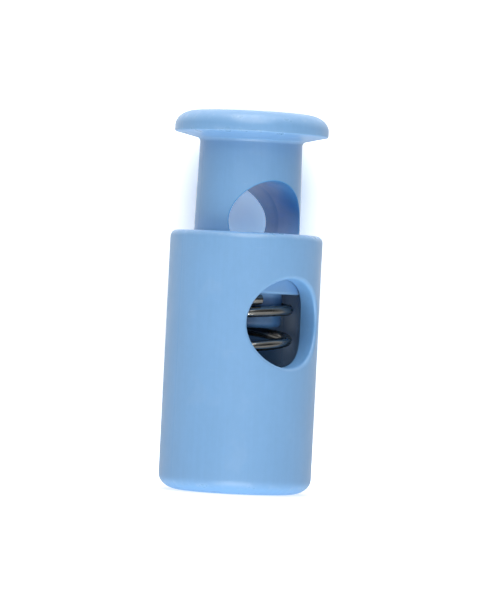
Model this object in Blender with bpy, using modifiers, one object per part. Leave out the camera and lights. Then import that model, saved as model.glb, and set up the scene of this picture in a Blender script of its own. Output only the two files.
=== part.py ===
"""A barrel cord lock: a hollow barrel, a sprung plunger with a broad head, and the spring.

Metres, +Z up. The barrel stands on its closed end at z = 0, with its axis on Z. Its cord
hole runs along Y. The plunger is modelled fully out, where the spring holds it. Pressed
down by PLUNGER_TRAVEL, its own cord hole is level with the barrel's to half a millimetre,
and a cord can pass. Let go, it pinches the cord.
"""

import math

import bmesh
import bpy

# Barrel
BARREL_RADIUS = 0.0050
BARREL_HEIGHT = 0.0170
BORE_RADIUS = 0.0038
FLOOR_THICKNESS = 0.0016
BORE_CORNER = 0.0005
RIM_ROUND = 0.00045
BASE_ROUND_WIDTH = 0.0014
BASE_ROUND_HEIGHT = 0.0010
MOUTH_RADIUS = 0.00359
MOUTH_LIP_HEIGHT = 0.00055
MOUTH_CHAMFER = 0.00015
BARREL_HOLE_RADIUS = 0.00288
BARREL_HOLE_HEIGHT = 0.01119
BARREL_HOLE_ROUND = 0.00032

# Plunger, fully out. Its foot is wider than its stem and bears up against the barrel's lip.
# Pressed home, the underside of its head meets the barrel's rim.
PLUNGER_TRAVEL = 0.0061
PLUNGER_TURN = math.radians(-10)
FOOT_HEIGHT = 0.01308
FOOT_RADIUS = 0.0037
FOOT_CHAMFER = 0.0002
SPIGOT_RADIUS = 0.0025
SPIGOT_LENGTH = 0.00225
SPIGOT_ROUND = 0.0004
SHOULDER_GAP = 0.00008
STEM_RADIUS_BELOW = 0.00348
STEM_RADIUS_ABOVE = 0.00336
STEM_FILLET = 0.0003
HEAD_RADIUS = 0.00505
HEAD_STOP_GAP = 0.00004
HEAD_UNDERSIDE_HEIGHT = BARREL_HEIGHT + PLUNGER_TRAVEL + HEAD_STOP_GAP
HEAD_UNDERSIDE_RISE = 0.0003
HEAD_THICKNESS = 0.00174
HEAD_ROUND_WIDTH = 0.0014
HEAD_ROUND_HEIGHT = 0.0010
HEAD_LOWER_ROUND = 0.00012
PLUNGER_HOLE_RADIUS = 0.00265
PLUNGER_HOLE_HEIGHT = 0.01774
PLUNGER_HOLE_ROUND = 0.00014

# Spring: round wire, right-handed, with a closed turn at each end
WIRE_RADIUS = 0.00035
COIL_RADIUS = 0.00295
SPRING_TURNS = 6.05
CLOSED_TURNS = 1.0
CLOSED_PITCH = 0.00072
PITCH_RAMP_TURNS = 0.4
SPRING_GAP = 0.00005
SPRING_TOP_ANGLE = math.radians(-107)

# Fineness of the round shapes
LATHE_STEPS = 64
HOLE_STEPS = 48
FLARE_STEPS = 4
FLARE_ANGLE = math.radians(78)
ARC_STEPS = 5
COIL_POINTS_PER_TURN = 20

# Linear RGB, metallic, roughness
BARREL_FINISH = ((0.235, 0.440, 0.730), 0.0, 0.38)
PLUNGER_FINISH = ((0.235, 0.440, 0.730), 0.0, 0.38)
SPRING_FINISH = ((0.42, 0.41, 0.39), 1.0, 0.28)


def clear_scene():
    for obj in list(bpy.data.objects):
        bpy.data.objects.remove(obj, do_unlink=True)


def new_collection(name):
    collection = bpy.data.collections.new(name)
    bpy.context.scene.collection.children.link(collection)
    return collection


def new_material(name, finish):
    colour, metallic, roughness = finish
    material = bpy.data.materials.new(name)
    material.use_nodes = True
    shader = material.node_tree.nodes["Principled BSDF"]
    shader.inputs["Base Color"].default_value = (*colour, 1)
    shader.inputs["Metallic"].default_value = metallic
    shader.inputs["Roughness"].default_value = roughness
    material.diffuse_color = (*colour, 1)
    return material


def arc(centre, width, height, start, end):
    """Points along an elliptical arc in the (radius, height) plane. Its angles are in degrees."""
    points = []
    for step in range(ARC_STEPS + 1):
        angle = math.radians(start + (end - start) * step / ARC_STEPS)
        points.append(
            (centre[0] + width * math.cos(angle), centre[1] + height * math.sin(angle))
        )
    return points


def turned(name, profile, collection):
    """A solid of revolution about Z. The profile runs up the inside and down the outside."""
    mesh = bpy.data.meshes.new(name)
    points = [(radius, 0, height) for radius, height in profile]
    edges = [(i, i + 1) for i in range(len(points) - 1)]
    mesh.from_pydata(points, edges, [])
    obj = bpy.data.objects.new(name, mesh)
    collection.objects.link(obj)
    screw = obj.modifiers.new("Turn", "SCREW")
    screw.axis = "Z"
    screw.steps = screw.render_steps = LATHE_STEPS
    screw.use_merge_vertices = True
    screw.merge_threshold = 1e-6
    screw.use_smooth_shade = True
    return obj


def ring_about_y(radius, y_at):
    """Points round a circle about Y, as seen along Y. y_at gives each point's y from its x."""
    points = []
    for i in range(HOLE_STEPS):
        angle = 2 * math.pi * i / HOLE_STEPS
        x = radius * math.cos(angle)
        points.append((x, y_at(x), radius * math.sin(angle)))
    return points


def hole_cutter(name, hole_radius, body_radius, edge_round, collection):
    """A cutter along Y for a round hole across a cylinder, with a rounded edge at each mouth.

    The edge follows the saddle where hole and cylinder meet, so the cutter is a loft from
    the round hole to that curve and on past the body.
    """
    half = []
    for step in range(FLARE_STEPS + 1):
        angle = FLARE_ANGLE * step / FLARE_STEPS
        widening = edge_round * (1 - math.cos(angle))
        depth = edge_round * (1 - math.sin(angle))
        half.append(
            ring_about_y(
                hole_radius + widening,
                lambda x, depth=depth: math.sqrt(body_radius**2 - x**2) - depth,
            )
        )
    half.append(ring_about_y(hole_radius + edge_round, lambda x: body_radius + 2 * edge_round))
    other_half = [[(x, -y, z) for x, y, z in ring] for ring in reversed(half)]

    mesh = bmesh.new()
    rings = [[mesh.verts.new(point) for point in ring] for ring in other_half + half]
    for first, second in zip(rings, rings[1:]):
        for i in range(HOLE_STEPS):
            j = (i + 1) % HOLE_STEPS
            mesh.faces.new((first[i], first[j], second[j], second[i]))
    mesh.faces.new(rings[0])
    mesh.faces.new(rings[-1])
    bmesh.ops.recalc_face_normals(mesh, faces=mesh.faces)
    data = bpy.data.meshes.new(name)
    mesh.to_mesh(data)
    mesh.free()
    cutter = bpy.data.objects.new(name, data)
    collection.objects.link(cutter)
    cutter.hide_render = True
    cutter.display_type = "WIRE"
    return cutter


def cut(obj, cutter):
    boolean = obj.modifiers.new(cutter.name, "BOOLEAN")
    boolean.operation = "DIFFERENCE"
    boolean.solver = "EXACT"
    boolean.object = cutter


def make_barrel(parts, cutters):
    """The closed-ended outer case, with an inward lip at its mouth and the cord hole across it."""
    lip_bottom = BARREL_HEIGHT - MOUTH_LIP_HEIGHT
    lip_step = BORE_RADIUS - MOUTH_RADIUS
    corner_centre = (BORE_RADIUS - BORE_CORNER, FLOOR_THICKNESS + BORE_CORNER)
    rim_centre = (BARREL_RADIUS - RIM_ROUND, BARREL_HEIGHT - RIM_ROUND)
    base_centre = (BARREL_RADIUS - BASE_ROUND_WIDTH, BASE_ROUND_HEIGHT)

    profile = [(0, FLOOR_THICKNESS)]
    profile += arc(corner_centre, BORE_CORNER, BORE_CORNER, -90, 0)
    profile += [
        (BORE_RADIUS, lip_bottom - lip_step / 2),
        (MOUTH_RADIUS, lip_bottom),
        (MOUTH_RADIUS, BARREL_HEIGHT - MOUTH_CHAMFER),
        (MOUTH_RADIUS + MOUTH_CHAMFER, BARREL_HEIGHT),
    ]
    profile += arc(rim_centre, RIM_ROUND, RIM_ROUND, 90, 0)
    profile += arc(base_centre, BASE_ROUND_WIDTH, BASE_ROUND_HEIGHT, 0, -90)
    profile.append((0, 0))
    barrel = turned("barrel", profile, parts)

    cutter = hole_cutter(
        "barrel_cord_hole", BARREL_HOLE_RADIUS, BARREL_RADIUS, BARREL_HOLE_ROUND, cutters
    )
    cutter.location.z = BARREL_HOLE_HEIGHT
    cut(barrel, cutter)
    barrel.data.materials.append(new_material("barrel_plastic", BARREL_FINISH))
    return barrel


def make_plunger(parts, cutters):
    """The push button: broad head, stem with the second cord hole, wider foot, and under the
    foot a spigot that keeps the spring in the middle."""
    shoulder = BARREL_HEIGHT - MOUTH_LIP_HEIGHT - SHOULDER_GAP - FOOT_HEIGHT
    shoulder_step = FOOT_RADIUS - STEM_RADIUS_BELOW
    underside = HEAD_UNDERSIDE_HEIGHT - FOOT_HEIGHT
    edge = underside + HEAD_UNDERSIDE_RISE
    top = underside + HEAD_THICKNESS
    head_centre = (HEAD_RADIUS - HEAD_ROUND_WIDTH, top - HEAD_ROUND_HEIGHT)
    edge_centre = (HEAD_RADIUS - HEAD_LOWER_ROUND, edge + HEAD_LOWER_ROUND)
    fillet_centre = (STEM_RADIUS_ABOVE + STEM_FILLET, underside - STEM_FILLET)
    spigot_centre = (SPIGOT_RADIUS - SPIGOT_ROUND, SPIGOT_ROUND - SPIGOT_LENGTH)

    profile = [(0, top)]
    profile += arc(head_centre, HEAD_ROUND_WIDTH, HEAD_ROUND_HEIGHT, 90, 0)
    profile += arc(edge_centre, HEAD_LOWER_ROUND, HEAD_LOWER_ROUND, 0, -90)
    profile += arc(fillet_centre, STEM_FILLET, STEM_FILLET, 90, 180)
    profile += [
        (STEM_RADIUS_BELOW, shoulder),
        (FOOT_RADIUS, shoulder - shoulder_step / 2),
        (FOOT_RADIUS, FOOT_CHAMFER),
        (FOOT_RADIUS - FOOT_CHAMFER, 0),
        (SPIGOT_RADIUS, 0),
    ]
    profile += arc(spigot_centre, SPIGOT_ROUND, SPIGOT_ROUND, 0, -90)
    profile.append((0, -SPIGOT_LENGTH))
    plunger = turned("plunger", profile, parts)
    plunger.location.z = FOOT_HEIGHT
    plunger.rotation_euler.z = PLUNGER_TURN

    cutter = hole_cutter(
        "plunger_cord_hole", PLUNGER_HOLE_RADIUS, STEM_RADIUS_BELOW, PLUNGER_HOLE_ROUND, cutters
    )
    cutter.parent = plunger
    cutter.location.z = PLUNGER_HOLE_HEIGHT - FOOT_HEIGHT
    cut(plunger, cutter)
    plunger.data.materials.append(new_material("plunger_plastic", PLUNGER_FINISH))
    return plunger


def smooth_step(share):
    share = min(max(share, 0), 1)
    return share * share * (3 - 2 * share)


def coil_points(height):
    """Points along the wire's centre line, from z = 0 to the height, ending at angle 0."""
    active_turns = SPRING_TURNS - 2 * CLOSED_TURNS
    active_pitch = (height - 2 * CLOSED_TURNS * CLOSED_PITCH) / active_turns
    count = round(SPRING_TURNS * COIL_POINTS_PER_TURN)
    step = SPRING_TURNS / count
    points = []
    z = 0
    for i in range(count + 1):
        turn = i * step
        angle = 2 * math.pi * (turn - SPRING_TURNS)
        points.append((COIL_RADIUS * math.cos(angle), COIL_RADIUS * math.sin(angle), z))
        middle = turn + step / 2
        to_end = min(middle, SPRING_TURNS - middle)
        share = smooth_step((to_end - CLOSED_TURNS) / PITCH_RAMP_TURNS + 0.5)
        z += step * (CLOSED_PITCH + (active_pitch - CLOSED_PITCH) * share)
    return points


def make_spring(parts):
    """The compression spring, between the barrel's floor and the plunger's foot."""
    bottom = FLOOR_THICKNESS + SPRING_GAP + WIRE_RADIUS
    top = FOOT_HEIGHT - SPRING_GAP - WIRE_RADIUS
    points = coil_points(top - bottom)
    curve = bpy.data.curves.new("spring", "CURVE")
    curve.dimensions = "3D"
    curve.bevel_depth = WIRE_RADIUS
    curve.bevel_resolution = 2
    curve.use_fill_caps = True
    wire = curve.splines.new("POLY")
    wire.points.add(len(points) - 1)
    for point, place in zip(wire.points, points):
        point.co = (*place, 1)
    wire.use_smooth = True
    spring = bpy.data.objects.new("spring", curve)
    parts.objects.link(spring)
    spring.location.z = bottom
    spring.rotation_euler.z = SPRING_TOP_ANGLE
    curve.materials.append(new_material("spring_steel", SPRING_FINISH))
    return spring


def main():
    clear_scene()
    parts = new_collection("cord_lock")
    cutters = new_collection("cord_lock_cutters")
    make_barrel(parts, cutters)
    make_plunger(parts, cutters)
    make_spring(parts)


main()
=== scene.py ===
"""The looks of the barrel cord lock: moulded light-blue plastic round a bright steel spring."""
import math

import bmesh
import bpy
from mathutils import Matrix, Vector


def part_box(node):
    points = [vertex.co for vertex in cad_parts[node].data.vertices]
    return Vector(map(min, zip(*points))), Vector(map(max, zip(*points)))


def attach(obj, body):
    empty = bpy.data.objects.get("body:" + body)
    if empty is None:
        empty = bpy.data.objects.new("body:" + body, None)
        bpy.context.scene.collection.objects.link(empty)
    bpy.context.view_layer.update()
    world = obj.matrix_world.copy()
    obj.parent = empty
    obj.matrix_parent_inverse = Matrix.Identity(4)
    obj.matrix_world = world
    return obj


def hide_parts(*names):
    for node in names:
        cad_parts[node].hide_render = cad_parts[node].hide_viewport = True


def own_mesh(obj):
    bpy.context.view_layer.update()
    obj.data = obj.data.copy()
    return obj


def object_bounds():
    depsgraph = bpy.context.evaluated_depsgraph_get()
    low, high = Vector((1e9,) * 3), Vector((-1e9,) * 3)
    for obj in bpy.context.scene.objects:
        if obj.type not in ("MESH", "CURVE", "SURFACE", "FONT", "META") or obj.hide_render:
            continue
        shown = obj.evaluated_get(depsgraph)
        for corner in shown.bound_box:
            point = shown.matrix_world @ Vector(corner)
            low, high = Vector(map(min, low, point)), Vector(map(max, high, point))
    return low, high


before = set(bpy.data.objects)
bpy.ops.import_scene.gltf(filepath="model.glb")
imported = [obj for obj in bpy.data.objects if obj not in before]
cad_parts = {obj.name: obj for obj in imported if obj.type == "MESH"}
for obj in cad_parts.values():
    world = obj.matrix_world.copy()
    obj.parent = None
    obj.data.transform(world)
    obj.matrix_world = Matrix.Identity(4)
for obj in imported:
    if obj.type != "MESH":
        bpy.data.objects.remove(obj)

cad_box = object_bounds()

# Sizes that the frame gives, in metres
_, BARREL_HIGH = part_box("barrel")
_, PLUNGER_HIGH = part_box("plunger")
SPRING_LOW, SPRING_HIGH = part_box("spring")

# Barrel
BARREL_RADIUS = BARREL_HIGH.x
BARREL_TOP = BARREL_HIGH.z
BORE_RADIUS = 0.0038
FLOOR_TOP = 0.0016
BORE_CORNER = 0.0005
RIM_ROUND = 0.00045
BASE_ROUND_WIDTH = 0.0014
BASE_ROUND_HEIGHT = 0.0010
MOUTH_RADIUS = 0.00359
MOUTH_LIP_HEIGHT = 0.00055
MOUTH_ROUND = 0.00015
BARREL_HOLE_RADIUS = 0.00288
BARREL_HOLE_Z = 0.01119
BARREL_HOLE_ROUND = 0.00032

# Plunger
PLUNGER_TURN = math.radians(-10)
HEAD_RADIUS = PLUNGER_HIGH.x
HEAD_TOP = PLUNGER_HIGH.z
FOOT_Z = 0.01308
FOOT_RADIUS = 0.0037
FOOT_ROUND = 0.0002
SPIGOT_RADIUS = 0.0025
SPIGOT_LENGTH = 0.00225
SPIGOT_ROUND = 0.0004
SHOULDER_GAP = 0.00008
SHOULDER_Z = BARREL_TOP - MOUTH_LIP_HEIGHT - SHOULDER_GAP
STEM_RADIUS_BELOW = 0.00348
STEM_RADIUS_ABOVE = 0.00336
STEM_FILLET = 0.0003
HEAD_EDGE_Z = 0.02344
HEAD_UNDERSIDE_Z = 0.02314
HEAD_ROUND_WIDTH = 0.0014
HEAD_ROUND_HEIGHT = 0.0010
HEAD_LOWER_ROUND = 0.00012
PLUNGER_HOLE_RADIUS = 0.00265
PLUNGER_HOLE_Z = 0.01774
PLUNGER_HOLE_ROUND = 0.00014

# Where each moulding's tool halves met: behind the middle, as seen along its hole
SEAM_OFFSET = math.radians(95)
SEAM_HALF_WIDTH = 0.00005
SEAM_DEPTH = 0.000012
SEAM_PLACES = (-1, -0.5, 0, 0.5, 1)
CORE_LINE_Y = 0.0005
CORE_LINE_DEPTH = 0.000005

# The shape that cuts a hole: how far its flare turns, and its half length in body radii
FLARE_ANGLE = math.radians(82)
HOLE_TOOL_REACH = 1.3

# Spring
WIRE_RADIUS = 0.00035
WIRE_END_ROUND = 0.00004
COIL_RADIUS = 0.00295
SPRING_TURNS = 6.05
CLOSED_TURNS = 1.0
CLOSED_PITCH = 0.00072
PITCH_RAMP_TURNS = 0.4
SPRING_TOP_ANGLE = math.radians(-107)
UV_PER_METRE = 100

# Fineness. TURN_START, in steps, keeps a ring's vertices out of line with the hole's, for a clean cut.
TURN_STEPS = 240
TURN_START = 0.35
WALL_RINGS = 20
HOLE_STEPS = 144
ARC_STEPS = 10
COIL_POINTS_PER_TURN = 56
WIRE_SIDES = 20
MOULDING_SHARP_ANGLE = math.radians(40)
WIRE_SHARP_ANGLE = math.radians(50)

# Camera: it stands level with the upper part of the barrel, and the object leans in its view
VIEW_AZIMUTH = math.radians(-40)
VIEW_DISTANCE = 0.27
VIEW_HEIGHT = 0.03937
VIEW_CENTRE = Vector((0, 0, 0.01259))
VIEW_ROLL = math.radians(2.86)
SENSOR = 36
CLIP_NEAR = 0.01
CLIP_FAR = 50
TO_CAMERA = Vector((math.sin(VIEW_AZIMUTH), -math.cos(VIEW_AZIMUTH), 0))
TO_RIGHT = Vector((-TO_CAMERA.y, TO_CAMERA.x, 0))
UP = Vector((0, 0, 1))

# Places in a material are in millimetres, and depths of relief in metres. Noise mostly stays
# between NOISE_LOW and NOISE_HIGH. A RANGE is the stretch of its noise over which a mark comes in.
MM = 1000
NOISE_LOW = 0.3
NOISE_HIGH = 0.7

# Plastic
PLASTIC_BLUE = (0.208, 0.420, 0.716)
PLASTIC_SPECULAR = 0.75
PLASTIC_ROUGHNESS = (0.30, 0.40)
CLOUDS = 0.015
MOTTLE = 0.01
STREAKS = 0.008
STREAK_RANGE = (0.35, 0.65)
STREAK_STRETCH = (1, 1, 0.05)
SCRATCH_RANGE = (0.67, 0.73)
SCRATCH_STRETCH = (0.35, 0.9, 4.0)
SMUDGE_RANGE = (0.60, 0.72)
DUST_CELLS = 0.36
DUST_COLOUR = (0.09, 0.10, 0.10, 1)
DUST_COVER = 0.25
DUST_CHANCE = 0.86
DUST_CERTAIN = 0.9
DUST_RADIUS = 0.03
DUST_BLUR = 0.012
PALE_COLOUR = (0.62, 0.74, 0.86, 1)
MARK_COVER = 0.035
RUB_COVER = 0.09
RUB_RANGE = (0.48, 0.66)
RUB_WIDTH = 0.35
RUB_GLOSS = -0.08
SCRATCH_DULL = 0.10
BARREL_RUBBED = (0.5, 16.9)
PLUNGER_RUBBED = (23.5, 24.4)
SINK_DEPTH = 0.00006
GRAIN_DEPTH = 0.0000022
STREAK_DEPTH = 0.000004
SCRATCH_DEPTH = 0.000004

# Painted shade on the walls of the cord holes. Its tint fades out between the full and edge distances
# below, outside the wall. A hole is its turn, its height and radius in metres, and how much of the
# painted shade the wall takes.
HOLE_SHADE_TINT = (0.52, 0.86, 1.0, 1)
HOLE_SHADE_EDGE = 0.12
HOLE_SHADE_FULL = 0.01
BARREL_HOLE = (0, BARREL_HOLE_Z, BARREL_HOLE_RADIUS, 0.25)
PLUNGER_HOLE = (PLUNGER_TURN, PLUNGER_HOLE_Z, PLUNGER_HOLE_RADIUS, 1.0)

# Painted shade on the plunger's spigot, down in the bore among the spring's coils, in patches
SPIGOT_SHADE_BLUE = (0.065, 0.185, 0.40, 1)
SPIGOT_SHADE_BELOW = 13.0
SPIGOT_SHADE_FADE = 0.3
SPIGOT_SHADE_THINNEST = 0.8

# Steel
STEEL_DARK = (0.17, 0.17, 0.163, 1)
STEEL_BRIGHT = (0.29, 0.29, 0.277, 1)
STEEL_TINT = (0.14, 0.13, 0.112, 1)
STEEL_TINT_COVER = 0.45
STEEL_TINT_RANGE = (0.45, 0.68)
STEEL_STRETCH = (1.6, 0.12, 1)
STEEL_ROUGHNESS = (0.14, 0.26)
STEEL_TINT_DULL = 0.10
STEEL_LINE_DEPTH = 0.000006
STEEL_PIT_DEPTH = 0.000006

# The world's light: even, with a lobe above and behind, a dimmer right side, and a dark level
# band on the camera's side. A lobe or band goes from none at its edge to full strength.
WORLD_EVEN = 0.34
WORLD_TOP_BEHIND = 0.85
WORLD_RIGHT = -0.10
WORLD_DARK_BAND = -0.32
LOBE_EDGE = 0.1
LOBE_FULL = 0.9
BAND_EDGE_HEIGHT = 0.55
BAND_FULL_HEIGHT = 0.2
BAND_EDGE_AHEAD = 0.0
BAND_FULL_AHEAD = 0.35

# Lamps
LAMP_AIM = Vector((0, 0, 0.0125))
LAMP_SIZE = 0.30
TOP_LIGHT = 0.39
TOP_FRONT_LIGHT = 0.47
LOW_FRONT_LIGHT = 0.525
BOTTOM_LIGHT = 0.85
UPRIGHT_DISTANCE = 0.4
TOP_AHEAD = 0.05
FRONT_AHEAD = 0.3
FRONT_RISE = 0.3

# Floor and backdrop. The backdrop's white is over 1, so that it comes out white where it is lit.
FLOOR_RADIUS = 1.0
FLOOR_STEPS = 96
FLOOR_GAP = 0.00002
FLOOR_WHITE = 0.4
FLOOR_GLOW = 0.7
MIRRORED_GLOW = 0.3
BACKDROP_HALF_WIDTH = 0.1
BACKDROP_GAP = 0.0052
BACKDROP_WHITE = 1.65


# ---------------------------------------------------------------- shapes


def arc(centre, width, height, start, end):
    """Points along an elliptical arc in the (radius, height) plane."""
    points = []
    for step in range(ARC_STEPS + 1):
        angle = start + (end - start) * step / ARC_STEPS
        points.append(
            (centre[0] + width * math.cos(angle), centre[1] + height * math.sin(angle))
        )
    return points


def wall(start, end):
    """Points from start to end, without the two ends, so that a long wall has short faces."""
    points = []
    for ring in range(1, WALL_RINGS):
        share = ring / WALL_RINGS
        points.append(
            (start[0] + (end[0] - start[0]) * share, start[1] + (end[1] - start[1]) * share)
        )
    return points


def seam_angles(turn):
    """The angles of a moulding's two seams. Its hole faces -Y, turned by this much about Z."""
    facing = turn - math.pi / 2
    return [facing - SEAM_OFFSET, facing + SEAM_OFFSET]


def seam_sink(angle, seams, radius):
    """How far the surface sinks at this angle, for the fine line that each seam leaves."""
    sink = 0
    for seam in seams:
        away = abs(math.remainder(angle - seam, 2 * math.pi)) * radius
        sink = max(sink, SEAM_DEPTH * (1 - away / SEAM_HALF_WIDTH))
    return sink


def turned(name, profile, seams):
    """A solid of revolution about Z. The profile runs from the axis to the axis, and seams are angles.

    Every ring is drawn in a little at the seams, which leaves a fine line up the surface.
    """
    widest = max(radius for radius, _ in profile)
    angles = [2 * math.pi * (i + TURN_START) / TURN_STEPS for i in range(TURN_STEPS)]
    for seam in seams:
        for place in SEAM_PLACES:
            angles.append((seam + place * SEAM_HALF_WIDTH / widest) % (2 * math.pi))
    angles = sorted(set(angles))

    mesh = bmesh.new()
    rings = []
    for radius, height in profile:
        if radius == 0:
            rings.append([mesh.verts.new((0, 0, height))])
            continue
        ring = []
        for angle in angles:
            reach = radius - seam_sink(angle, seams, widest)
            ring.append(mesh.verts.new((reach * math.cos(angle), reach * math.sin(angle), height)))
        rings.append(ring)
    for above, below in zip(rings, rings[1:]):
        for i in range(len(angles)):
            j = (i + 1) % len(angles)
            if len(above) == 1:
                mesh.faces.new((above[0], below[i], below[j]))
            elif len(below) == 1:
                mesh.faces.new((above[i], below[0], above[j]))
            else:
                mesh.faces.new((above[i], below[i], below[j], above[j]))
    return solid(name, mesh)


def to_object(name, mesh):
    """A new object that takes over this mesh."""
    data = bpy.data.meshes.new(name)
    mesh.to_mesh(data)
    mesh.free()
    obj = bpy.data.objects.new(name, data)
    bpy.context.scene.collection.objects.link(obj)
    return obj


def solid(name, mesh):
    """A new object of a closed mesh, with its faces turned outward."""
    bmesh.ops.recalc_face_normals(mesh, faces=mesh.faces)
    return to_object(name, mesh)


def hole_tool(hole_radius, body_radius, edge_round, core_line=None):
    """The shape of a cord hole along Y: a round bar that flares at each end to round the hole's edge.

    The flare follows the saddle where the bar meets a cylinder of body_radius. core_line is
    where along Y the two core pins met, which leaves a fine ring in the wall.
    """
    flare = []
    for step in range(ARC_STEPS + 1):
        angle = FLARE_ANGLE * step / ARC_STEPS
        flare.append((edge_round * (1 - math.cos(angle)), edge_round * (1 - math.sin(angle))))

    def saddle(side, widening, depth):
        ring = []
        for i in range(HOLE_STEPS):
            angle = 2 * math.pi * i / HOLE_STEPS
            x = (hole_radius + widening) * math.cos(angle)
            y = side * (math.sqrt(body_radius**2 - x**2) - depth)
            ring.append(Vector((x, y, (hole_radius + widening) * math.sin(angle))))
        return ring

    def flat(radius, y):
        ring = []
        for i in range(HOLE_STEPS):
            angle = 2 * math.pi * i / HOLE_STEPS
            ring.append(Vector((radius * math.cos(angle), y, radius * math.sin(angle))))
        return ring

    loops = [flat(hole_radius + edge_round, -HOLE_TOOL_REACH * body_radius)]
    loops += [saddle(-1, widening, depth) for widening, depth in reversed(flare)]
    if core_line is not None:
        for place, rise in ((-1, 0), (0, 1), (1, 0)):
            y = core_line + place * SEAM_HALF_WIDTH
            loops.append(flat(hole_radius + rise * CORE_LINE_DEPTH, y))
    loops += [saddle(1, widening, depth) for widening, depth in flare]
    loops.append(flat(hole_radius + edge_round, HOLE_TOOL_REACH * body_radius))

    mesh = bmesh.new()
    rings = [[mesh.verts.new(point) for point in loop] for loop in loops]
    for first, second in zip(rings, rings[1:]):
        for i in range(HOLE_STEPS):
            j = (i + 1) % HOLE_STEPS
            mesh.faces.new((first[i], first[j], second[j], second[i]))
    mesh.faces.new(rings[0])
    mesh.faces.new(rings[-1])
    return solid("hole_tool", mesh)


def cut(obj, tool):
    """Cuts the tool's shape from the object, for good, and removes the tool."""
    boolean = obj.modifiers.new("Cut", "BOOLEAN")
    boolean.operation = "DIFFERENCE"
    boolean.solver = "EXACT"
    boolean.object = tool
    graph = bpy.context.evaluated_depsgraph_get()
    whole = obj.data
    obj.data = bpy.data.meshes.new_from_object(obj.evaluated_get(graph))
    obj.data.name = obj.name
    obj.modifiers.clear()
    bpy.data.meshes.remove(whole)
    bpy.data.objects.remove(tool)


def smooth(obj):
    """Smooth shading with sharp edges kept, and normals that follow the larger faces."""
    obj.data.shade_smooth()
    obj.data.set_sharp_from_angle(angle=MOULDING_SHARP_ANGLE)
    normals = obj.modifiers.new("Even normals", "WEIGHTED_NORMAL")
    normals.keep_sharp = True


def make_barrel():
    """The case, with its profile up the bore, over the rim and down the outside."""
    lip_bottom = BARREL_TOP - MOUTH_LIP_HEIGHT
    rim = (BARREL_RADIUS - RIM_ROUND, BARREL_TOP - RIM_ROUND)
    base = (BARREL_RADIUS - BASE_ROUND_WIDTH, BASE_ROUND_HEIGHT)
    mouth = (MOUTH_RADIUS + MOUTH_ROUND, BARREL_TOP - MOUTH_ROUND)
    corner = (BORE_RADIUS - BORE_CORNER, FLOOR_TOP + BORE_CORNER)
    bore_top = (BORE_RADIUS, lip_bottom - (BORE_RADIUS - MOUTH_RADIUS) / 2)

    profile = [(0, FLOOR_TOP)]
    profile += arc(corner, BORE_CORNER, BORE_CORNER, -math.pi / 2, 0)
    profile += wall(profile[-1], bore_top)
    profile += [bore_top, (MOUTH_RADIUS, lip_bottom)]
    profile += arc(mouth, MOUTH_ROUND, MOUTH_ROUND, math.pi, math.pi / 2)
    profile += arc(rim, RIM_ROUND, RIM_ROUND, math.pi / 2, 0)
    base_arc = arc(base, BASE_ROUND_WIDTH, BASE_ROUND_HEIGHT, 0, -math.pi / 2)
    profile += wall(profile[-1], base_arc[0])
    profile += base_arc
    profile.append((0, 0))
    barrel = turned("barrel_moulding", profile, seam_angles(0))
    tool = hole_tool(BARREL_HOLE_RADIUS, BARREL_RADIUS, BARREL_HOLE_ROUND)
    tool.location.z = BARREL_HOLE_Z
    cut(barrel, tool)
    smooth(barrel)
    return barrel


def make_plunger():
    """The button, with its profile from the head's top down the stem and foot to the spigot's end."""
    head = (HEAD_RADIUS - HEAD_ROUND_WIDTH, HEAD_TOP - HEAD_ROUND_HEIGHT)
    lower = (HEAD_RADIUS - HEAD_LOWER_ROUND, HEAD_EDGE_Z + HEAD_LOWER_ROUND)
    fillet = (STEM_RADIUS_ABOVE + STEM_FILLET, HEAD_UNDERSIDE_Z - STEM_FILLET)
    foot = (FOOT_RADIUS - FOOT_ROUND, FOOT_Z + FOOT_ROUND)
    spigot = (SPIGOT_RADIUS - SPIGOT_ROUND, FOOT_Z - SPIGOT_LENGTH + SPIGOT_ROUND)
    stem_end = (STEM_RADIUS_BELOW, SHOULDER_Z)
    shoulder_step = FOOT_RADIUS - STEM_RADIUS_BELOW

    profile = [(0, HEAD_TOP)]
    profile += arc(head, HEAD_ROUND_WIDTH, HEAD_ROUND_HEIGHT, math.pi / 2, 0)
    profile += arc(lower, HEAD_LOWER_ROUND, HEAD_LOWER_ROUND, 0, -math.pi / 2)
    profile += arc(fillet, STEM_FILLET, STEM_FILLET, math.pi / 2, math.pi)
    profile += wall(profile[-1], stem_end)
    profile += [stem_end, (FOOT_RADIUS, SHOULDER_Z - shoulder_step / 2)]
    profile += arc(foot, FOOT_ROUND, FOOT_ROUND, 0, -math.pi / 2)
    profile.append((SPIGOT_RADIUS, FOOT_Z))
    profile += arc(spigot, SPIGOT_ROUND, SPIGOT_ROUND, 0, -math.pi / 2)
    profile.append((0, FOOT_Z - SPIGOT_LENGTH))
    plunger = turned("plunger_moulding", profile, seam_angles(PLUNGER_TURN))
    tool = hole_tool(PLUNGER_HOLE_RADIUS, STEM_RADIUS_BELOW, PLUNGER_HOLE_ROUND, CORE_LINE_Y)
    tool.location.z = PLUNGER_HOLE_Z
    tool.rotation_euler.z = PLUNGER_TURN
    cut(plunger, tool)
    smooth(plunger)
    return plunger


def smooth_step(share):
    share = min(max(share, 0), 1)
    return share * share * (3 - 2 * share)


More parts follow.
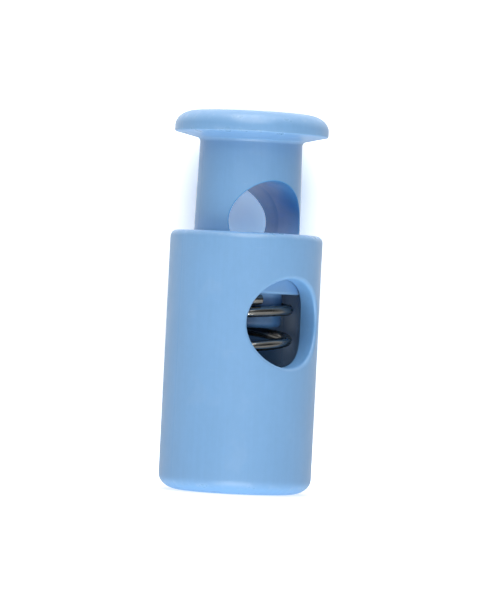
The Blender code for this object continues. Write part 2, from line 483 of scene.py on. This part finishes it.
def coil_points():
    """(angle, height) along the wire's centre line, from the bottom end to the top end."""
    height = SPRING_HIGH.z - SPRING_LOW.z - 2 * WIRE_RADIUS
    active_turns = SPRING_TURNS - 2 * CLOSED_TURNS
    active_pitch = (height - 2 * CLOSED_TURNS * CLOSED_PITCH) / active_turns
    count = round(SPRING_TURNS * COIL_POINTS_PER_TURN)
    step = SPRING_TURNS / count
    points = []
    z = SPRING_LOW.z + WIRE_RADIUS
    for i in range(count + 1):
        turn = i * step
        points.append((SPRING_TOP_ANGLE + 2 * math.pi * (turn - SPRING_TURNS), z))
        middle = turn + step / 2
        to_end = min(middle, SPRING_TURNS - middle)
        share = smooth_step((to_end - CLOSED_TURNS) / PITCH_RAMP_TURNS + 0.5)
        z += step * (CLOSED_PITCH + (active_pitch - CLOSED_PITCH) * share)
    return points


def make_spring():
    """A round wire wound up the coil, with its ends cut square. Its UVs run round and along it."""
    mesh = bmesh.new()
    uv = mesh.loops.layers.uv.new("wire")
    points = coil_points()
    ends = (0, len(points) - 1)
    rings = []
    lengths = []
    along = 0
    previous = None
    for index, (angle, z) in enumerate(points):
        outward = Vector((math.cos(angle), math.sin(angle), 0))
        centre = outward * COIL_RADIUS + Vector((0, 0, z))
        if previous is not None:
            along += (centre - previous).length
        previous = centre
        radius = WIRE_RADIUS - (WIRE_END_ROUND if index in ends else 0)
        ring = []
        for side in range(WIRE_SIDES):
            around = 2 * math.pi * side / WIRE_SIDES
            offset = outward * math.cos(around) + Vector((0, 0, math.sin(around)))
            ring.append(mesh.verts.new(centre + offset * radius))
        rings.append(ring)
        lengths.append(along)
    for k, (first, second) in enumerate(zip(rings, rings[1:])):
        for i in range(WIRE_SIDES):
            j = (i + 1) % WIRE_SIDES
            face = mesh.faces.new((first[i], second[i], second[j], first[j]))
            corners = ((i, k), (i, k + 1), (i + 1, k + 1), (i + 1, k))
            for loop, (side, place) in zip(face.loops, corners):
                loop[uv].uv = (side / WIRE_SIDES, lengths[place] * UV_PER_METRE)
    mesh.faces.new(rings[0])
    mesh.faces.new(rings[-1])
    spring = solid("spring_wire", mesh)
    spring.data.shade_smooth()
    spring.data.set_sharp_from_angle(angle=WIRE_SHARP_ANGLE)
    return spring


# ---------------------------------------------------------------- materials


def add(tree, kind, inputs=None, **settings):
    """A new node with these settings. Each input is a value to set or an output to link."""
    node = tree.nodes.new(kind)
    for key, value in settings.items():
        setattr(node, key, value)
    for key, value in (inputs or {}).items():
        if isinstance(value, bpy.types.NodeSocket):
            tree.links.new(value, node.inputs[key])
        else:
            node.inputs[key].default_value = value
    return node


def calc(tree, operation, first, second=0.0):
    return add(tree, "ShaderNodeMath", {0: first, 1: second}, operation=operation).outputs[0]


def ramp(tree, value, start, end, low=0.0, high=1.0):
    """Goes smoothly from low to high as the value goes from start to end."""
    inputs = {"Value": value, "From Min": start, "From Max": end, "To Min": low, "To Max": high}
    node = add(tree, "ShaderNodeMapRange", inputs, interpolation_type="SMOOTHSTEP")
    return node.outputs["Result"]


def spread(tree, value, low, high):
    """Stretches noise over the range from low to high."""
    return ramp(tree, value, NOISE_LOW, NOISE_HIGH, low, high)


def noise(tree, place, scale, detail=2.0, stretch=None):
    """Noise from 0 to 1, with scale in waves per unit of place."""
    if stretch is not None:
        place = add(tree, "ShaderNodeMapping", {"Vector": place, "Scale": stretch}).outputs[0]
    node = add(tree, "ShaderNodeTexNoise", {"Vector": place, "Scale": scale, "Detail": detail})
    return node.outputs["Fac"]


def mix_colour(tree, factor, first, second, blend="MIX"):
    """Mixes two colours. The node's colour sockets share their names with others, so numbers pick them."""
    inputs = {0: factor, 6: first, 7: second}
    node = add(tree, "ShaderNodeMix", inputs, data_type="RGBA", blend_type=blend)
    return node.outputs[2]


def millimetres(tree):
    place = add(tree, "ShaderNodeTexCoord").outputs["Object"]
    inputs = {0: place, 1: (MM, MM, MM)}
    return add(tree, "ShaderNodeVectorMath", inputs, operation="MULTIPLY").outputs[0]


def bump(tree, height, distance, after=None):
    inputs = {"Height": height, "Distance": distance, "Strength": 1.0}
    if after is not None:
        inputs["Normal"] = after
    return add(tree, "ShaderNodeBump", inputs).outputs[0]


def new_material(name):
    material = bpy.data.materials.new(name)
    material.use_nodes = True
    return material, material.node_tree, material.node_tree.nodes["Principled BSDF"]


def uneven_tone(tree, place, streaked):
    """A grey near white, which makes a colour that it multiplies a little uneven."""
    clouds = spread(tree, noise(tree, place, scale=0.3), 1 - CLOUDS, 1 + CLOUDS)
    mottle = spread(tree, noise(tree, place, scale=2.6, detail=4.0), 1 - MOTTLE, 1 + MOTTLE)
    streaks = ramp(tree, streaked, *STREAK_RANGE, 1 - STREAKS, 1 + STREAKS)
    tone = calc(tree, "MULTIPLY", calc(tree, "MULTIPLY", clouds, mottle), streaks)
    return add(tree, "ShaderNodeCombineColor", {0: tone, 1: tone, 2: tone}).outputs[0]


def dust_specks(tree, place):
    """Where dust lies, from 0 to 1: specks of many sizes, in a few of the cells."""
    cells = add(tree, "ShaderNodeTexVoronoi", {"Vector": place, "Scale": DUST_CELLS})
    chance = add(tree, "ShaderNodeSeparateColor", {"Color": cells.outputs["Color"]}).outputs[0]
    size = ramp(tree, chance, DUST_CHANCE, 1.0, 0.0, DUST_RADIUS)
    outside = calc(tree, "SUBTRACT", cells.outputs["Distance"], size)
    dust = ramp(tree, outside, DUST_BLUR, -DUST_BLUR)
    return calc(tree, "MULTIPLY", dust, ramp(tree, chance, DUST_CHANCE, DUST_CERTAIN))


def rubbed_rims(tree, place, height, rims):
    """Where rims at these heights have been rubbed, in patches, from 0 to 1."""
    rub = 0.0
    for rim in rims:
        away = calc(tree, "ABSOLUTE", calc(tree, "SUBTRACT", height, rim))
        rub = calc(tree, "MAXIMUM", rub, ramp(tree, away, RUB_WIDTH, 0.0))
    patches = ramp(tree, noise(tree, place, scale=1.7, detail=4.0), *RUB_RANGE)
    return calc(tree, "MULTIPLY", rub, patches)


def painted_hole_shade(tree, place, height, hole):
    """How much painted shade the wall of a hole takes, by the distance from the hole's axis."""
    turn, hole_height, hole_radius, shade_share = hole
    across = add(tree, "ShaderNodeMapping", {"Vector": place, "Rotation": (0, 0, -turn)})
    sideways = add(tree, "ShaderNodeSeparateXYZ", {"Vector": across.outputs[0]}).outputs["X"]
    upward = calc(tree, "SUBTRACT", height, hole_height * MM)
    square = calc(tree, "ADD", calc(tree, "POWER", sideways, 2.0), calc(tree, "POWER", upward, 2.0))
    reach = calc(tree, "SQRT", square)
    wall_radius = hole_radius * MM
    return ramp(tree, reach, wall_radius + HOLE_SHADE_EDGE, wall_radius + HOLE_SHADE_FULL, 0.0, shade_share)


def painted_spigot_shade(tree, place, height, top):
    """How strong the painted shade on the spigot is, from 0 to 1: patchy, and none above the height top.
    """
    patchy = spread(tree, noise(tree, place, scale=1.4, detail=3.0), SPIGOT_SHADE_THINNEST, 1.0)
    return calc(tree, "MULTIPLY", ramp(tree, height, top, top - SPIGOT_SHADE_FADE), patchy)


def plastic(name, colour, rims, hole, shaded_below=None):
    """Moulded plastic, nearly even in colour, with the small faults of a used moulding.

    rims are the heights that rub. Below the last argument's height, in millimetres up Z, the surface
    takes painted shade, as on the spigot down in the bore. hole is a cord hole as BARREL_HOLE gives it.
    """
    material, tree, shader = new_material(name)
    place = millimetres(tree)
    height = add(tree, "ShaderNodeSeparateXYZ", {"Vector": place}).outputs["Z"]
    streaked = noise(tree, place, scale=5.0, detail=3.0, stretch=STREAK_STRETCH)
    scratches = noise(tree, place, scale=1.1, detail=5.0, stretch=SCRATCH_STRETCH)
    scratched = ramp(tree, scratches, *SCRATCH_RANGE)
    smudged = ramp(tree, noise(tree, place, scale=0.42, detail=3.0), *SMUDGE_RANGE)
    rubbed = rubbed_rims(tree, place, height, rims)
    marks = calc(tree, "MULTIPLY", calc(tree, "MAXIMUM", scratched, smudged), MARK_COVER)
    pale = calc(tree, "MAXIMUM", marks, calc(tree, "MULTIPLY", rubbed, RUB_COVER))

    tone = uneven_tone(tree, place, streaked)
    surface = mix_colour(tree, 1.0, (*colour, 1), tone, "MULTIPLY")
    dust = calc(tree, "MULTIPLY", dust_specks(tree, place), DUST_COVER)
    surface = mix_colour(tree, dust, surface, DUST_COLOUR)
    surface = mix_colour(tree, pale, surface, PALE_COLOUR)
    # Painted shade on the cord hole's wall
    hole_shade = painted_hole_shade(tree, place, height, hole)
    surface = mix_colour(tree, hole_shade, surface, HOLE_SHADE_TINT, "MULTIPLY")
    # Painted shade on the spigot: darker below a given height, in patches
    if shaded_below is not None:
        surface = mix_colour(tree, painted_spigot_shade(tree, place, height, shaded_below), surface, SPIGOT_SHADE_BLUE)
    tree.links.new(surface, shader.inputs["Base Color"])
    shader.inputs["Specular IOR Level"].default_value = PLASTIC_SPECULAR

    roughness = spread(tree, noise(tree, place, scale=0.8, detail=3.0), *PLASTIC_ROUGHNESS)
    roughness = calc(tree, "ADD", roughness, calc(tree, "MULTIPLY", rubbed, RUB_GLOSS))
    roughness = calc(tree, "ADD", roughness, calc(tree, "MULTIPLY", scratched, SCRATCH_DULL))
    tree.links.new(roughness, shader.inputs["Roughness"])

    relief = bump(tree, noise(tree, place, scale=0.33, detail=1.0), SINK_DEPTH)
    relief = bump(tree, noise(tree, place, scale=14.0), GRAIN_DEPTH, relief)
    relief = bump(tree, streaked, STREAK_DEPTH, relief)
    relief = bump(tree, calc(tree, "SUBTRACT", 1.0, scratched), SCRATCH_DEPTH, relief)
    tree.links.new(relief, shader.inputs["Normal"])
    return material


def steel(name):
    """Drawn spring wire: fine lines along it, an oily tint in patches, and small pits."""
    material, tree, shader = new_material(name)
    place = millimetres(tree)
    along = add(tree, "ShaderNodeUVMap", uv_map="wire").outputs[0]
    drawn = noise(tree, along, scale=9.0, detail=4.0, stretch=STEEL_STRETCH)
    patches = ramp(tree, noise(tree, place, scale=0.55, detail=3.0), *STEEL_TINT_RANGE)

    surface = mix_colour(tree, spread(tree, drawn, 0.0, 1.0), STEEL_DARK, STEEL_BRIGHT)
    tinted = calc(tree, "MULTIPLY", patches, STEEL_TINT_COVER)
    surface = mix_colour(tree, tinted, surface, STEEL_TINT)
    tree.links.new(surface, shader.inputs["Base Color"])
    shader.inputs["Metallic"].default_value = 1.0

    roughness = spread(tree, drawn, *STEEL_ROUGHNESS)
    roughness = calc(tree, "ADD", roughness, calc(tree, "MULTIPLY", patches, STEEL_TINT_DULL))
    tree.links.new(roughness, shader.inputs["Roughness"])

    relief = bump(tree, drawn, STEEL_LINE_DEPTH)
    relief = bump(tree, noise(tree, place, scale=6.0, detail=3.0), STEEL_PIT_DEPTH, relief)
    tree.links.new(relief, shader.inputs["Normal"])
    return material


# ---------------------------------------------------------------- the studio


def white(name, strength, glow):
    """A matt white for the studio: strength is how much light it gives back.

    glow whitens it further in the picture, and a little in reflections.
    """
    material, tree, shader = new_material(name)
    shader.inputs["Base Color"].default_value = (strength, strength, strength, 1)
    shader.inputs["Roughness"].default_value = 1.0
    shader.inputs["Specular IOR Level"].default_value = 0.0
    shader.inputs["Emission Color"].default_value = (1, 1, 1, 1)
    path = add(tree, "ShaderNodeLightPath").outputs
    mirrored = calc(tree, "MULTIPLY", path["Is Glossy Ray"], MIRRORED_GLOW)
    seen = calc(tree, "MAXIMUM", path["Is Camera Ray"], mirrored)
    tree.links.new(calc(tree, "MULTIPLY", seen, glow), shader.inputs["Emission Strength"])
    return material


def make_floor():
    """A white floor just under the object, which lets the light of the lamps below it through."""
    mesh = bmesh.new()
    bmesh.ops.create_circle(mesh, cap_ends=True, segments=FLOOR_STEPS, radius=FLOOR_RADIUS)
    floor = to_object("floor", mesh)
    floor.location.z = cad_box[0].z - FLOOR_GAP
    material = white("floor_white", FLOOR_WHITE, FLOOR_GLOW)
    material.cycles.emission_sampling = "NONE"
    floor.data.materials.append(material)
    floor.visible_shadow = False


def make_backdrop():
    """A white sheet close behind the object, which closes its holes from behind.

    Only the camera sees it, and only from its front.
    """
    mesh = bmesh.new()
    bmesh.ops.create_grid(mesh, x_segments=1, y_segments=1, size=BACKDROP_HALF_WIDTH)
    sheet = to_object("backdrop", mesh)
    facing = TO_CAMERA.to_track_quat("Z", "Y").to_matrix().to_4x4()
    sheet.matrix_world = Matrix.Translation(TO_CAMERA * -BACKDROP_GAP) @ facing
    material = white("backdrop_white", BACKDROP_WHITE, 0.0)
    tree = material.node_tree
    shown = tree.nodes["Principled BSDF"].outputs[0]
    behind = add(tree, "ShaderNodeNewGeometry").outputs["Backfacing"]
    clear = add(tree, "ShaderNodeBsdfTransparent").outputs[0]
    both = add(tree, "ShaderNodeMixShader", {0: behind, 1: shown, 2: clear}).outputs[0]
    tree.links.new(both, tree.nodes["Material Output"].inputs["Surface"])
    sheet.data.materials.append(material)
    sheet.visible_diffuse = False
    sheet.visible_glossy = False
    sheet.visible_transmission = False
    sheet.visible_shadow = False


def make_camera():
    data = bpy.data.cameras.new("camera")
    data.sensor_width = SENSOR
    data.lens = SENSOR * VIEW_DISTANCE / VIEW_HEIGHT
    data.clip_start = CLIP_NEAR
    data.clip_end = CLIP_FAR
    camera = bpy.data.objects.new("camera", data)
    bpy.context.scene.collection.objects.link(camera)
    upright = TO_CAMERA.to_track_quat("Z", "Y").to_matrix()
    rolled = (upright @ Matrix.Rotation(VIEW_ROLL, 3, "Z")).to_4x4()
    camera.matrix_world = Matrix.Translation(VIEW_CENTRE + TO_CAMERA * VIEW_DISTANCE) @ rolled
    bpy.context.scene.camera = camera


def toward(tree, direction, axis):
    """How nearly a direction points along an axis: 1 along it, 0 square to it."""
    inputs = {0: direction, 1: axis}
    node = add(tree, "ShaderNodeVectorMath", inputs, operation="DOT_PRODUCT")
    return node.outputs["Value"]


def make_world():
    """Soft light from all round, with lobes and a dark band. To the camera it is plain white."""
    world = bpy.data.worlds.new("studio")
    bpy.context.scene.world = world
    world.use_nodes = True
    tree = world.node_tree
    tree.nodes["Background"].inputs["Color"].default_value = (1, 1, 1, 1)
    direction = add(tree, "ShaderNodeTexCoord").outputs["Generated"]

    light = WORLD_EVEN
    top_behind = (UP - TO_CAMERA).normalized()
    for strength, axis in ((WORLD_TOP_BEHIND, top_behind), (WORLD_RIGHT, TO_RIGHT)):
        near = toward(tree, direction, axis)
        light = calc(tree, "ADD", light, ramp(tree, near, LOBE_EDGE, LOBE_FULL, 0.0, strength))

    height = add(tree, "ShaderNodeSeparateXYZ", {"Vector": direction}).outputs["Z"]
    level = ramp(tree, calc(tree, "ABSOLUTE", height), BAND_EDGE_HEIGHT, BAND_FULL_HEIGHT)
    ahead = ramp(tree, toward(tree, direction, TO_CAMERA), BAND_EDGE_AHEAD, BAND_FULL_AHEAD)
    band = calc(tree, "MULTIPLY", level, ahead)
    light = calc(tree, "ADD", light, calc(tree, "MULTIPLY", band, WORLD_DARK_BAND))
    seen = add(tree, "ShaderNodeLightPath").outputs["Is Camera Ray"]
    light = calc(tree, "MAXIMUM", light, seen)
    tree.links.new(light, tree.nodes["Background"].inputs["Strength"])


def lamp(name, offset, strength):
    """A square soft lamp at this offset from its aim. strength is the light that reaches the aim.

    The floor casts no shadow, but it stops rays that meet a lamp by chance. A lamp below it is
    sampled directly instead, so that all its light counts.
    """
    place = LAMP_AIM + offset
    inward = LAMP_AIM - place
    data = bpy.data.lights.new(name, "AREA")
    data.shape = "SQUARE"
    data.size = LAMP_SIZE
    data.energy = strength * math.pi**2 * inward.length**2
    data.cycles.use_multiple_importance_sampling = place.z > 0
    light = bpy.data.objects.new(name, data)
    bpy.context.scene.collection.objects.link(light)
    light.location = place
    light.rotation_euler = inward.to_track_quat("-Z", "Y").to_euler()
    return light


def make_studio():
    make_camera()
    make_world()
    bpy.context.scene.view_settings.view_transform = "Standard"
    make_floor()
    make_backdrop()
    lamp("top", UP * UPRIGHT_DISTANCE + TO_CAMERA * TOP_AHEAD, TOP_LIGHT)
    lamp("low", TO_CAMERA * FRONT_AHEAD - UP * FRONT_RISE, LOW_FRONT_LIGHT)
    bottom = lamp("bottom", UP * -UPRIGHT_DISTANCE, BOTTOM_LIGHT)
    bottom.visible_glossy = False
    lamp("top_front", TO_CAMERA * FRONT_AHEAD + UP * FRONT_RISE, TOP_FRONT_LIGHT)


def main():
    make_studio()
    barrel = make_barrel()
    barrel.data.materials.append(plastic("barrel_plastic", PLASTIC_BLUE, BARREL_RUBBED, BARREL_HOLE))
    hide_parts("barrel")
    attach(barrel, "barrel")

    plunger = make_plunger()
    plunger.data.materials.append(
        plastic("plunger_plastic", PLASTIC_BLUE, PLUNGER_RUBBED, PLUNGER_HOLE, SPIGOT_SHADE_BELOW)
    )
    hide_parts("plunger")
    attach(plunger, "plunger")

    spring = make_spring()
    spring.data.materials.append(steel("spring_steel"))
    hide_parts("spring")
    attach(spring, "spring")
    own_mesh(spring)


main()
